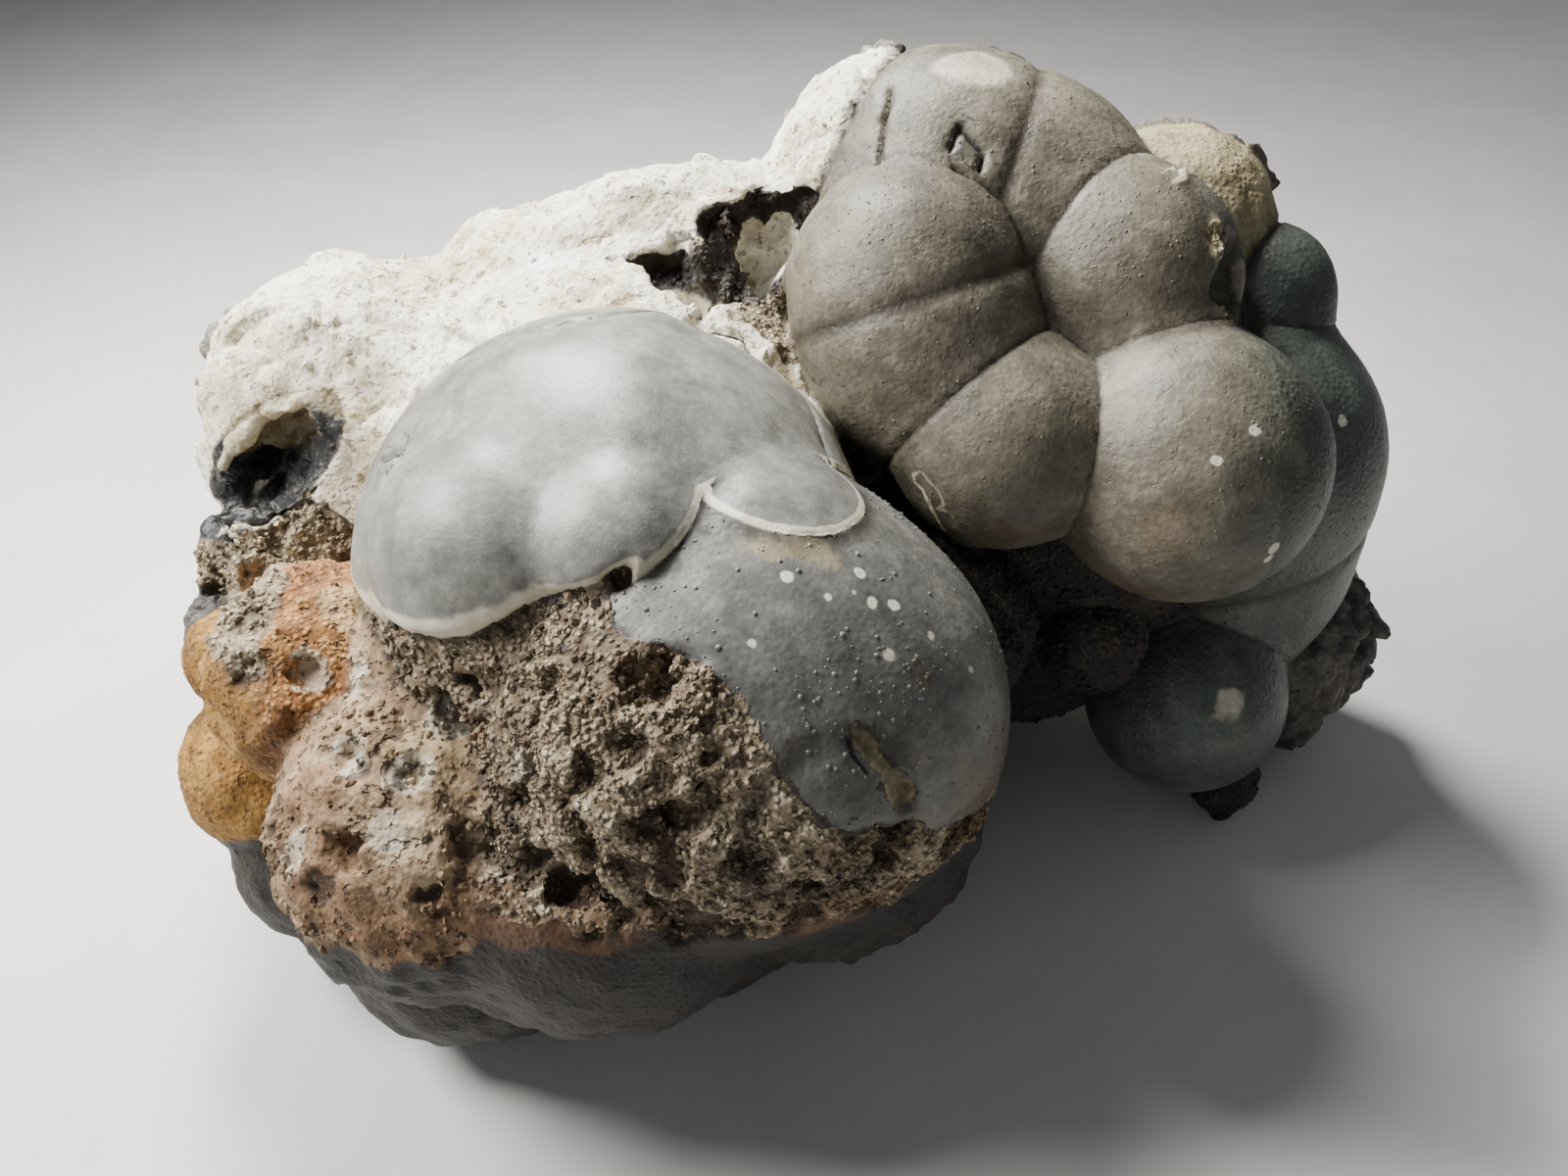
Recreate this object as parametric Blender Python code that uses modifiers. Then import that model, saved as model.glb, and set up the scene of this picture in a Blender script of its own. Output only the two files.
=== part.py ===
"""Romanechite specimen: two grape-like masses of fused domes grown on a crust of broken matrix.

Everything is one grown-together body.  Lengths in the tables are millimetres; the body is built at
true size in metres, with its worn base on z = 0 and the open valley between the masses facing -Y.
"""
import bpy
import bmesh
import math
import numpy as np
from mathutils import Euler, Matrix, Vector, noise
from mathutils.bvhtree import BVHTree

NAME = "romanechite"
MM = 0.001
BASE_Z = 0.0
GRID = 1.1
TRIANGLES = 9000
SHELL_STEP = 1.3
WELD = 0.03
FRONT_WEIGHT = 0.99

# Each dome: centre, radii, finish of its skin.
SHELL_DOMES = {
    "shell_crown": ((-26, -14, 59.5), (30.5, 30.5, 30.5), "smooth"),
    "shell_left": ((-35.7, -26.5, 72), (13.8, 13.8, 13.8), "smooth"),
    "shell_middle": ((-22.6, -30.2, 75), (10.9, 10.9, 10.9), "smooth"),
    "shell_right": ((-10.5, -27.1, 65.3), (17.9, 17.9, 17.9), "smooth"),
}
LEFT_DOMES = {
    "left_heart": ((-26, -13, 36), (40, 40, 40), "worn"),
    "blue_dome": ((-13.5, -29, 53), (29.5, 29.5, 29.5), "smooth"),
    "blue_side": ((-9, -30, 53), (27.3, 27.3, 27.3), "smooth"),
    "blue_flank": ((-4.5, -31, 53), (24.5, 24.5, 24.5), "smooth"),
    "blue_lip": ((-7.5, -42.5, 57.5), (17.5, 15.5, 15), "smooth"),
    "earthy_front": ((-15, -33.5, 55), (25.2, 25.2, 25.2), "porous"),
    "earthy_low": ((-21, -35.5, 46), (20.5, 20.5, 20.5), "porous"),
    "buff_dome": ((-45.2, -38.5, 41), (20.3, 20.3, 20.3), "porous"),
    "buff_saddle": ((-45, -25, 52.5), (14, 14, 14), "porous"),
    "rim_shelf": ((-32.5, -28, 64.5), (17, 15.5, 15.5), "porous"),
    "rust_dome": ((-62, -23, 51), (14, 14, 14), "porous"),
    "ochre_low": ((-73.5, -24, 34), (10.5, 10, 12), "granular"),
    "ochre_high": ((-76, -15, 46), (7.5, 7.5, 7.5), "granular"),
    "under_front": ((-28, -36, 38), (24.5, 24.5, 24.5), "worn"),
    "under_left": ((-46, -32, 20), (20, 20, 20), "worn"),
    "under_ochre": ((-68, -25, 20), (13, 13, 13), "worn"),
    "under_right": ((-2, -27, 35), (22, 22, 22), "porous"),
    "rubble_left": ((-72, 0, 50), (14, 14, 14), "broken"),
    "shard_left": ((-80, -9, 45), (6, 8, 9), "broken"),
    "valley_dome": ((15, -7, 45), (13, 13, 13), "granular"),
}
RIGHT_DOMES = {
    "right_heart": ((36, 22, 57), (30, 31, 32), "worn"),
    "top_left": ((15.5, 29, 89), (19.5, 19.5, 19.5), "smooth"),
    "top_right": ((25, 27, 86.5), (19, 19, 19), "smooth"),
    "top_back": ((47, 31, 83), (15, 15, 15), "smooth"),
    "inner_high": ((8.5, 9.5, 86.5), (14, 14, 14), "smooth"),
    "inner_low": ((11, 6, 80), (14.8, 14.8, 14.8), "smooth"),
    "brow": ((37.5, 14, 85), (14.5, 14.5, 14.5), "smooth"),
    "cheek": ((21, -3, 71.5), (13.5, 13.5, 13.5), "smooth"),
    "belly": ((44, -4.5, 69), (17.2, 17.2, 17.2), "smooth"),
    "flank_high": ((56.5, 16, 57), (22, 22, 22), "smooth"),
    "flank_low": ((62, 15, 42), (17, 18, 24), "smooth"),
    "shoulder": ((59, 23, 78), (10, 10, 10), "smooth"),
    "bud": ((36.5, -6, 41), (7.5, 7.5, 7.5), "granular"),
    "foot_dome": ((54, -1, 25), (14.5, 14.5, 14.5), "smooth"),
    "toe": ((64, -2, 6), (6, 6, 6), "broken"),
    "broken_foot": ((68, 19, 19), (22, 18, 21), "broken"),
}
MATRIX_LUMPS = {
    "crust_left": ((-63, 16, 56), (25, 20, 30), "ledged"),
    "crust_middle": ((-34, 25, 57), (30, 22, 33), "ledged"),
    "crust_right": ((-10, 29, 61), (30, 20, 33), "ledged"),
    "crust_ridge": ((-20, 28, 69), (26, 16, 25), "ledged"),
    "crust_top": ((7, 33, 91.5), (15, 15, 15), "ledged"),
    "crust_bridge": ((-30, 10, 60), (34, 22, 27), "ledged"),
    "matrix_bed": ((0, 24, 36), (70, 30, 37), "ledged"),
}

# Height of the roughness and size of its lumps for each finish.
FINISH = {
    "smooth": (0.15, 9.0),
    "granular": (0.5, 3.5),
    "worn": (0.7, 8.0),
    "porous": (1.0, 4.5),
    "ledged": (1.3, 11.0),
    "broken": (2.2, 9.0),
}

# Flat breaks of the back and flanks: a point of the plane and its outward direction.
BREAKS = {
    "back_break": ((0, 46, 40), (0.12, 1.0, 0.10)),
    "back_right_break": ((66, 42, 30), (0.62, 0.78, -0.05)),
    "back_left_break": ((-66, 32, 40), (-0.55, 0.80, 0.10)),
}

# Holes and notches, each seated on the nearest skin: a point by it, radii, turn in degrees, sink.
HOLLOWS = {
    "crust_hole_right": ((-6, 17, 89), (5, 8, 8), (0, 25, 30), 3.0),
    "crust_hole_left": ((-18, 13, 86), (8, 5, 4.5), (0, -20, 20), 1.5),
    "crust_slot": ((-12.5, 14.5, 87), (6, 3, 4), (0, -12, 20), 1.2),
    "shoulder_notch": ((48.5, 5.5, 89.5), (3, 5, 7), (0, 0, -15), 0.5),
    "wedge_scar": ((-73.5, -1, 66), (4.5, 7, 12.5), (10, 48, -10), 1.0),
    "wedge_cave": ((-77, -9, 59.5), (3.5, 3, 2.6), (0, 0, 0), 0.5),
    "side_cave": ((-80, -10, 54), (3, 4, 3.4), (0, 20, 0), 0.5),
    "buff_pit_a": ((-44.5, -46.5, 59.5), (1.7, 2.4, 2.6), (0, 0, 20), 0.4),
    "buff_pit_b": ((-41, -41, 61), (2.8, 2.2, 1.8), (0, 30, 0), 0.4),
    "buff_pit_c": ((-52, -44, 59.5), (2.2, 2.2, 1.6), (0, -20, 0), 0.3),
    "buff_pit_d": ((-51.5, -53, 54), (2.6, 2.2, 1.8), (0, 15, 0), 0.4),
    "rust_pit": ((-59.5, -33, 60.5), (2.4, 2.2, 1.6), (0, 20, 0), 0.3),
    "earthy_pit_a": ((-19.5, -48, 74.5), (3.6, 2.4, 2.6), (0, 35, 0), 0.4),
    "earthy_pit_b": ((-27, -55.5, 52.5), (3.4, 2.6, 2.2), (0, -25, 0), 0.4),
    "earthy_pit_c": ((-15, -56, 64), (2.6, 2.2, 1.8), (0, 10, 0), 0.3),
}


def new_collection(name):
    made = bpy.data.collections.new(name)
    bpy.context.scene.collection.children.link(made)
    return made


def ellipsoid(name, centre, radii, turn, level, home, ragged=0.0):
    """Round body with the given centre, radii and turn; a ragged one has an uneven outline."""
    bm = bmesh.new()
    bmesh.ops.create_icosphere(bm, subdivisions=level, radius=1.0)
    shift = Vector(centre) * 0.37
    for vertex in bm.verts:
        vertex.co *= 1.0 + ragged * noise.noise(vertex.co * 1.9 + shift)
    angles = Euler([math.radians(a) for a in turn])
    place = Matrix.Translation(Vector(centre) * MM) @ angles.to_matrix().to_4x4()
    place = place @ Matrix.Diagonal((radii[0] * MM, radii[1] * MM, radii[2] * MM, 1.0))
    bmesh.ops.transform(bm, matrix=place, verts=bm.verts)
    mesh = bpy.data.meshes.new(name)
    bm.to_mesh(mesh)
    bm.free()
    made = bpy.data.objects.new(name, mesh)
    home.objects.link(made)
    return made


def slab(name, point, outward, home, size=160.0):
    """Cube that takes away everything beyond the plane through the point."""
    direction = Vector(outward).normalized()
    bm = bmesh.new()
    bmesh.ops.create_cube(bm, size=size * MM)
    turn = direction.to_track_quat("Z", "Y").to_matrix().to_4x4()
    middle = Vector(point) * MM + direction * (size / 2 * MM)
    bmesh.ops.transform(bm, matrix=Matrix.Translation(middle) @ turn, verts=bm.verts)
    mesh = bpy.data.meshes.new(name)
    bm.to_mesh(mesh)
    bm.free()
    made = bpy.data.objects.new(name, mesh)
    home.objects.link(made)
    return made


def bake(body):
    """Turn the modifiers of the body into plain mesh."""
    graph = bpy.context.evaluated_depsgraph_get()
    mesh = bpy.data.meshes.new_from_object(body.evaluated_get(graph))
    old = body.data
    body.modifiers.clear()
    body.data = mesh
    bpy.data.meshes.remove(old)
    body.data.name = body.name


def remesh(body, size):
    step = body.modifiers.new("remesh", "REMESH")
    step.mode = "VOXEL"
    step.voxel_size = size * MM
    step.adaptivity = 0.0
    bake(body)


def cut(body, cutters):
    for cutter in cutters:
        step = body.modifiers.new(cutter.name, "BOOLEAN")
        step.operation = "DIFFERENCE"
        step.solver = "EXACT"
        step.object = cutter
    bake(body)


def hollow(body, tools):
    """Sink the ragged holes into the skin, clear of sealed pockets."""
    bm = bmesh.new()
    bm.from_mesh(body.data)
    skin = BVHTree.FromBMesh(bm)
    bm.free()
    made = []
    for name, (near, radii, turn, sink) in HOLLOWS.items():
        spot, out, face, gap = skin.find_nearest(Vector(near) * MM)
        centre = (spot - out * sink * MM) / MM
        made.append(ellipsoid(name, centre, radii, turn, 2, tools, 0.45))
    cut(body, made)


def tidy(body):
    """Join points that all but coincide, so that no face is a sliver."""
    bm = bmesh.new()
    bm.from_mesh(body.data)
    bmesh.ops.remove_doubles(bm, verts=bm.verts, dist=WELD * MM)
    bmesh.ops.dissolve_degenerate(bm, edges=bm.edges, dist=WELD * MM)
    bm.to_mesh(body.data)
    bm.free()


def mark_detail(body):
    """Vertex group that lets the back and the underside be coarser than the domes."""
    group = body.vertex_groups.new(name="plain")
    for vertex in body.data.vertices:
        facing = vertex.normal.dot(Vector((0.0, -0.75, 0.66)))
        weight = min(1.0, max(FRONT_WEIGHT, 1.0 - (facing + 0.1) * 0.03))
        group.add([vertex.index], weight, "REPLACE")


def reduce(body, goal):
    """Collapse the mesh to about the wanted number of triangles."""
    step = body.modifiers.new("triangles", "TRIANGULATE")
    bake(body)
    count = len(body.data.polygons)
    step = body.modifiers.new("reduce", "DECIMATE")
    step.decimate_type = "COLLAPSE"
    step.ratio = min(1.0, goal / count)
    step.vertex_group = "plain"
    step.vertex_group_factor = 1.0
    bake(body)


def fuse(domes, home):
    """One mesh with every dome in it, still overlapping."""
    bm = bmesh.new()
    for name, (centre, radii, finish) in domes.items():
        level = 5 if max(radii) > 12 else 4
        made = ellipsoid(name, centre, radii, (0, 0, 0), level, home)
        bm.from_mesh(made.data)
        mesh = made.data
        bpy.data.objects.remove(made)
        bpy.data.meshes.remove(mesh)
    mesh = bpy.data.meshes.new(NAME)
    bm.to_mesh(mesh)
    bm.free()
    body = bpy.data.objects.new(NAME, mesh)
    home.objects.link(body)
    return body


def nearness(points, domes):
    """Distance from each point to the skin of each dome, in millimetres."""
    rows = []
    for centre, radii, finish in domes.values():
        flat = (points - np.array(centre)) / np.array(radii)
        rows.append((np.linalg.norm(flat, axis=1) - 1.0) * min(radii))
    return np.array(rows)


def roughen(body, domes):
    """Push the skin in and out by the finish of the dome it belongs to, and lift the shell's edge."""
    mesh = body.data
    points = np.array([v.co for v in mesh.vertices]) / MM
    normals = np.array([v.normal for v in mesh.vertices])
    far = nearness(points, domes)
    weight = np.exp(-np.maximum(far - far.min(axis=0), 0.0) / 0.8)
    weight /= weight.sum(axis=0)
    names = list(domes)
    split = np.zeros(len(points))
    for point, out in BREAKS.values():
        depth = (np.array(point) - points) @ np.array(Vector(out).normalized())
        split = np.maximum(split, np.clip(1.6 - depth, 0.0, 1.0))
    shell = np.array([name in SHELL_DOMES for name in names])
    inside = far[~shell].min(axis=0) - far[shell].min(axis=0)
    lift = SHELL_STEP * np.clip(inside / 1.2, 0.0, 1.0)
    push = np.zeros(len(points))
    for finish, (height, size) in FINISH.items():
        mine = np.array([domes[name][2] == finish for name in names])
        share = weight[mine].sum(axis=0) * (1.0 - split)
        if finish == "broken":
            share = share + split
        hit = np.nonzero(share > 0.01)[0]
        for i in hit:
            spot = Vector(points[i]) / size
            wave = noise.fractal(spot, 0.9, 2.1, 3)
            if finish in ("ledged", "broken"):
                wave -= 0.5 * abs(noise.noise(spot * 0.7 + Vector((7, 3, 1))))
            if finish == "porous":
                wave -= 0.7 * max(0.0, noise.noise(spot * 1.4 + Vector((2, 9, 4))) - 0.15)
            push[i] += share[i] * height * wave
    moved = (points + normals * (push + lift)[:, None]) * MM
    for vertex, spot in zip(mesh.vertices, moved):
        vertex.co = spot
    mesh.update()


def settle(body):
    """Centre the body over the origin."""
    points = np.array([v.co for v in body.data.vertices])
    middle = (points.min(axis=0) + points.max(axis=0)) / 2
    body.data.transform(Matrix.Translation((-middle[0], -middle[1], -points[:, 2].min())))


def build():
    for thing in list(bpy.data.objects):
        bpy.data.objects.remove(thing)
    home = new_collection(NAME)
    tools = new_collection("cutters")
    domes = {**SHELL_DOMES, **LEFT_DOMES, **RIGHT_DOMES, **MATRIX_LUMPS}
    body = fuse(domes, home)
    remesh(body, GRID)
    breaks = [slab(name, point, out, tools) for name, (point, out) in BREAKS.items()]
    cut(body, breaks)
    remesh(body, GRID)
    roughen(body, domes)
    hollow(body, tools)
    remesh(body, GRID)
    mark_detail(body)
    reduce(body, TRIANGLES)
    base = slab("base_cut", (0, 0, BASE_Z), (0, 0, -1), tools, 300.0)
    cut(body, [base])
    tidy(body)
    settle(body)
    for cutter in tools.objects:
        cutter.hide_render = True
        cutter.display_type = "WIRE"
    stone = bpy.data.materials.new("romanechite_stone")
    stone.use_nodes = True
    shader = stone.node_tree.nodes["Principled BSDF"]
    shader.inputs["Base Color"].default_value = (0.20, 0.20, 0.19, 1.0)
    shader.inputs["Roughness"].default_value = 0.55
    body.data.materials.append(stone)


build()
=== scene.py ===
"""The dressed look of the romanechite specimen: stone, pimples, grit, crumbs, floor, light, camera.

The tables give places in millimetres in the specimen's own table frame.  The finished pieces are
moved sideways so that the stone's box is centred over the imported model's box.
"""
import math
from itertools import product
import bpy
import bmesh
import numpy as np
from mathutils import Euler, Matrix, Vector, noise
from mathutils.bvhtree import BVHTree


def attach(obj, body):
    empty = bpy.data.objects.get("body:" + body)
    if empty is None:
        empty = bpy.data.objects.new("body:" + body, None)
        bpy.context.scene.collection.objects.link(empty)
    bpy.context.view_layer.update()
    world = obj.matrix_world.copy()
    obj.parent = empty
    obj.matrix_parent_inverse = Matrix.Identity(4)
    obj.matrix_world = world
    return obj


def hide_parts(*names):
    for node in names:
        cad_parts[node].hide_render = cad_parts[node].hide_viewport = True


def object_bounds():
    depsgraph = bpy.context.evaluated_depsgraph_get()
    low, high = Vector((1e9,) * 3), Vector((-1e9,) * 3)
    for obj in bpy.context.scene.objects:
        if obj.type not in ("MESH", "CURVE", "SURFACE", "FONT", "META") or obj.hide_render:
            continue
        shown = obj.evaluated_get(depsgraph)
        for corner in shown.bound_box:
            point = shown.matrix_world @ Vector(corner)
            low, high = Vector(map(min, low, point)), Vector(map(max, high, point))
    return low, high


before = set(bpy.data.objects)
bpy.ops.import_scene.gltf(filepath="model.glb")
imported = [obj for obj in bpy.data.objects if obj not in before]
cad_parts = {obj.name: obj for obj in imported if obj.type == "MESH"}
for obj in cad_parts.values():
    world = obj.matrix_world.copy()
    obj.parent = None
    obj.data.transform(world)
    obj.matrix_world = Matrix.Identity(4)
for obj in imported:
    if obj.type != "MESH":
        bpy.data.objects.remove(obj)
CAD_LOW, CAD_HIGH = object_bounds()

MM = 0.001

# The stone's mesh: grids of its remeshes and the height of its base in millimetres, its triangles, and the
# little by which the side that faces the viewer is kept from being thinned.
COARSE_GRID = 0.9
GRID = 0.5
BASE_Z = 0.0
TRIANGLES = 192000
FRONT_SAVING = 0.00002
TOWARDS_VIEWER = (0.0, -0.75, 0.66)

# Each dome: centre, radii and the finish of its skin.  One number stands for three equal radii.
SHELL_DOMES = {
    "shell_crown": ((-26, -14, 59.5), 30.5, "smooth"),
    "shell_left": ((-35.7, -26.5, 72), 13.8, "smooth"),
    "shell_middle": ((-22.6, -30.2, 75), 10.9, "smooth"),
    "shell_right": ((-10.5, -27.1, 65.3), 17.9, "smooth"),
}
LEFT_DOMES = {
    "left_heart": ((-26, -13, 36), 40, "worn"),
    "blue_dome": ((-13.5, -29, 53), 29.5, "smooth"),
    "blue_side": ((-9, -30, 53), 27.3, "smooth"),
    "blue_flank": ((-4.5, -31, 53), 24.5, "smooth"),
    "blue_lip": ((-7.5, -42.5, 57.5), (17.5, 15.5, 15), "smooth"),
    "earthy_front": ((-15, -33.5, 55), 25.2, "porous"),
    "earthy_low": ((-21, -35.5, 46), 20.5, "porous"),
    "buff_dome": ((-45.2, -38.5, 41), 20.3, "porous"),
    "buff_saddle": ((-45, -25, 52.5), 14, "porous"),
    "rim_shelf": ((-32.5, -28, 64.5), (17, 15.5, 15.5), "porous"),
    "rust_dome": ((-62, -23, 51), 14, "porous"),
    "ochre_low": ((-73.5, -24, 34), (10.5, 10, 12), "granular"),
    "ochre_high": ((-76, -15, 46), 7.5, "granular"),
    "under_front": ((-28, -36, 38), 24.5, "worn"),
    "under_left": ((-46, -32, 20), 20, "worn"),
    "under_ochre": ((-68, -25, 20), 13, "worn"),
    "under_right": ((-2, -27, 35), 22, "porous"),
    "rubble_left": ((-72, 0, 50), 14, "broken"),
    "shard_left": ((-80, -9, 45), (6, 8, 9), "broken"),
    "valley_dome": ((15, -7, 45), 13, "granular"),
}
RIGHT_DOMES = {
    "right_heart": ((36, 22, 57), (30, 31, 32), "worn"),
    "top_left": ((15.5, 29, 89), 19.5, "smooth"),
    "top_right": ((25, 27, 86.5), 19, "smooth"),
    "top_back": ((47, 31, 83), 15, "smooth"),
    "inner_high": ((8.5, 9.5, 86.5), 14, "smooth"),
    "inner_low": ((11, 6, 80), 14.8, "smooth"),
    "brow": ((37.5, 14, 85), 14.5, "smooth"),
    "cheek": ((21, -3, 71.5), 13.5, "smooth"),
    "belly": ((44, -4.5, 69), 17.2, "smooth"),
    "flank_high": ((56.5, 16, 57), 22, "smooth"),
    "flank_low": ((62, 15, 42), (17, 18, 24), "smooth"),
    "shoulder": ((59, 23, 78), 10, "smooth"),
    "bud": ((36.5, -6, 41), 7.5, "granular"),
    "foot_dome": ((54, -1, 25), 14.5, "smooth"),
    "toe": ((64, -2, 6), 6, "broken"),
    "broken_foot": ((68, 19, 19), (22, 18, 21), "broken"),
}
MATRIX_LUMPS = {
    "crust_left": ((-63, 16, 56), (25, 20, 30), "ledged"),
    "crust_middle": ((-34, 25, 57), (30, 22, 33), "ledged"),
    "crust_right": ((-10, 29, 61), (30, 20, 33), "ledged"),
    "crust_ridge": ((-20, 28, 69), (26, 16, 25), "ledged"),
    "crust_top": ((7, 33, 91.5), 15, "ledged"),
    "crust_bridge": ((-30, 10, 60), (34, 22, 27), "ledged"),
    "matrix_bed": ((0, 24, 36), (70, 30, 37), "ledged"),
}
DOMES = {name: (centre, radii if isinstance(radii, tuple) else (radii,) * 3, finish)
         for table in (SHELL_DOMES, LEFT_DOMES, RIGHT_DOMES, MATRIX_LUMPS)
         for name, (centre, radii, finish) in table.items()}
NAMES = list(DOMES)

# Height and lump size of the broad unevenness of each finish.
FINISH = {
    "smooth": (0.15, 9.0),
    "granular": (0.5, 3.5),
    "worn": (0.7, 8.0),
    "porous": (1.0, 4.5),
    "ledged": (1.3, 11.0),
    "broken": (2.2, 9.0),
}

# Flat breaks of the back and flanks: a point of the plane and its outward direction.
BREAKS = {
    "back_break": ((0, 46, 40), (0.12, 1.0, 0.10)),
    "back_right_break": ((66, 42, 30), (0.62, 0.78, -0.05)),
    "back_left_break": ((-66, 32, 40), (-0.55, 0.80, 0.10)),
}

# Holes and notches, each seated on the nearest skin: a point by it, radii, turn in degrees, sink.
HOLLOWS = {
    "crust_hole_right": ((-6, 17, 89), (5, 8, 8), (0, 25, 30), 3.0),
    "crust_hole_left": ((-18, 13, 86), (8, 5, 4.5), (0, -20, 20), 1.5),
    "crust_slot": ((-12.5, 14.5, 87), (6, 3, 4), (0, -12, 20), 1.2),
    "shoulder_notch": ((48.5, 5.5, 89.5), (3, 5, 7), (0, 0, -15), 0.5),
    "wedge_scar": ((-73.5, -1, 66), (4.5, 7, 12.5), (10, 48, -10), 1.0),
    "wedge_cave": ((-77, -9, 59.5), (3.5, 3, 2.6), (0, 0, 0), 0.5),
    "side_cave": ((-80, -10, 54), (3, 4, 3.4), (0, 20, 0), 0.5),
    "buff_pit_a": ((-44.5, -46.5, 59.5), (1.7, 2.4, 2.6), (0, 0, 20), 0.4),
    "buff_pit_b": ((-41, -41, 61), (2.8, 2.2, 1.8), (0, 30, 0), 0.4),
    "buff_pit_c": ((-52, -44, 59.5), (2.2, 2.2, 1.6), (0, -20, 0), 0.3),
    "buff_pit_d": ((-51.5, -53, 54), (2.6, 2.2, 1.8), (0, 15, 0), 0.4),
    "rust_pit": ((-59.5, -33, 60.5), (2.4, 2.2, 1.6), (0, 20, 0), 0.3),
    "earthy_pit_a": ((-19.5, -48, 74.5), (3.6, 2.4, 2.6), (0, 35, 0), 0.4),
    "earthy_pit_b": ((-27, -55.5, 52.5), (3.4, 2.6, 2.2), (0, -25, 0), 0.4),
    "earthy_pit_c": ((-15, -56, 64), (2.6, 2.2, 1.8), (0, 10, 0), 0.3),
}

# Zones of the skin, each made of whole domes.
ZONES = {
    "shell": list(SHELL_DOMES),
    "blue": ["blue_dome", "blue_side", "blue_flank", "blue_lip"],
    "earth": ["earthy_front", "earthy_low", "under_right", "rim_shelf"],
    "buff": ["buff_dome", "buff_saddle"],
    "rust": ["rust_dome"],
    "ochre": ["ochre_low", "ochre_high"],
    # The underside's zone: its dark brown-grey, darkened further as painted shade.
    "under": ["left_heart", "under_front", "under_left", "under_ochre"],
    "rubble": ["rubble_left"],
    "shard": ["shard_left"],
    # The valley's zone: brown debris and the bud, darkened as painted shade of the crevice and caves.
    "valley": ["valley_dome", "bud", "right_heart", "toe"],
    "warm": ["top_left", "top_right", "inner_high", "inner_low", "brow", "cheek", "belly"],
    "tan": ["top_back"],
    # The flank's zone: grey-green, darkened as painted shade of the right side, which faces away from the
    # light.
    "flank": ["flank_high", "flank_low", "shoulder", "foot_dome"],
    "crust": list(MATRIX_LUMPS),
    "foot": ["broken_foot"],
}

# Domes that run into one another without a crease.
SEAMLESS = [
    ["blue_dome", "blue_side", "blue_flank", "earthy_front"],
    [*MATRIX_LUMPS, "right_heart", "left_heart", "broken_foot", "rubble_left", "shard_left"],
    ["under_front", "under_left", "under_ochre", "under_right", "earthy_low", "buff_dome", "ochre_low"],
]

# Fine cracks: width, depth and the points that each runs through.
CRACKS = {
    "shell_crack": (0.30, 0.8, [(-51, -1, 77), (-40, -9, 86), (-32, -9, 89), (-25, -6, 89), (-18, 3.5, 84),
                                (-11, 5, 81.5), (-5, -3, 78.5), (-1.5, -14.5, 77.5), (2, -20, 77)]),
    "shell_side_crack": (0.25, 0.6, [(-47, 1, 80), (-38, -2, 86), (-31, -1, 88)]),
    "top_crack": (0.35, 0.9, [(7.5, 24.5, 106.5), (6, 18, 101.5), (5, 13, 99)]),
    "flake_crack": (0.45, 0.8, [(13.5, 14, 101), (15.3, 16.2, 103.8), (17.8, 13.8, 101), (17.2, 12, 98.8)]),
    "flake_side": (0.3, 0.5, [(13.5, 14, 101), (14.2, 12.3, 99), (16, 11.6, 98.2)]),
    "ridge_crack": (0.3, 0.5, [(-0.4, -50.4, 69.8), (1.0, -51.4, 67.4), (2.2, -51.9, 65.4)]),
    "chip_crack": (0.4, 0.8, [(-50.5, -18, 77.2), (-46.3, -21, 81.2), (-48.6, -22.8, 78)]),
    "notch_crack": (0.5, 0.8, [(51, -3, 90), (52, -6, 88)]),
    "wedge_lip": (0.5, 1.2, [(-80, -6.5, 60.5), (-74, -7.5, 61.8), (-68, -6, 63.5), (-64, -4, 66.5)]),
}

# Raised pale veins: width, height and the points that each runs through.
VEINS = {
    "shoulder_vein": (0.6, 0.4, [(39.5, 10, 99), (44, 16, 98), (49.5, 23, 95.5)]),
    "wedge_top": (1.1, 0.5, [(-81, 1.5, 61.5), (-78, 3, 67), (-71, 3, 72.5), (-64, 2, 75.5)]),
    "wedge_foot": (0.8, 0.5, [(-80, -6.3, 60.2), (-74, -7.6, 61), (-68, -7, 62.4)]),
    "cheek_thread": (0.4, 0.3, [(3.2, -15, 74), (8, -12, 70.5), (11.5, -12, 69), (14.5, -12, 63.6)]),
}


def lattice(cells, seed):
    """Repeatable random number from 0 to 1 for each whole-number cell."""
    n = cells[:, 0] * 374761393 + cells[:, 1] * 668265263 + cells[:, 2] * 2147483647 + seed * 974634777
    n = (n ^ (n >> 13)) * 1274126177
    n = (n ^ (n >> 16)) & 0xFFFFFF
    return n / float(0xFFFFFF)


def value_noise(points, seed):
    """Smooth noise from -1 to 1."""
    base = np.floor(points).astype(np.int64)
    part = points - base
    ease = part * part * part * (part * (part * 6 - 15) + 10)
    total = np.zeros(len(points))
    sides = (1 - ease, ease)
    for corner in product((0, 1), repeat=3):
        wx, wy, wz = (sides[k][:, axis] for axis, k in enumerate(corner))
        total += wx * wy * wz * lattice(base + np.array(corner), seed)
    return total * 2 - 1


def fractal(points, octaves, seed):
    """Sum of smooth noises, each half as high and about half as wide as the one before."""
    total, height, scale = 0.0, 1.0, 1.0
    for step in range(octaves):
        total = total + height * value_noise(points * scale + 17.3 * step, seed + step)
        height *= 0.5
        scale *= 2.03
    return total


def warped(points, size, seed):
    """Points shifted by smooth noise, so that what is drawn on them has uneven outlines."""
    shift = [value_noise(points / size + 9.1 * k, seed + k) for k in range(3)]
    return points + 0.35 * size * np.stack(shift, axis=1)


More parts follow.
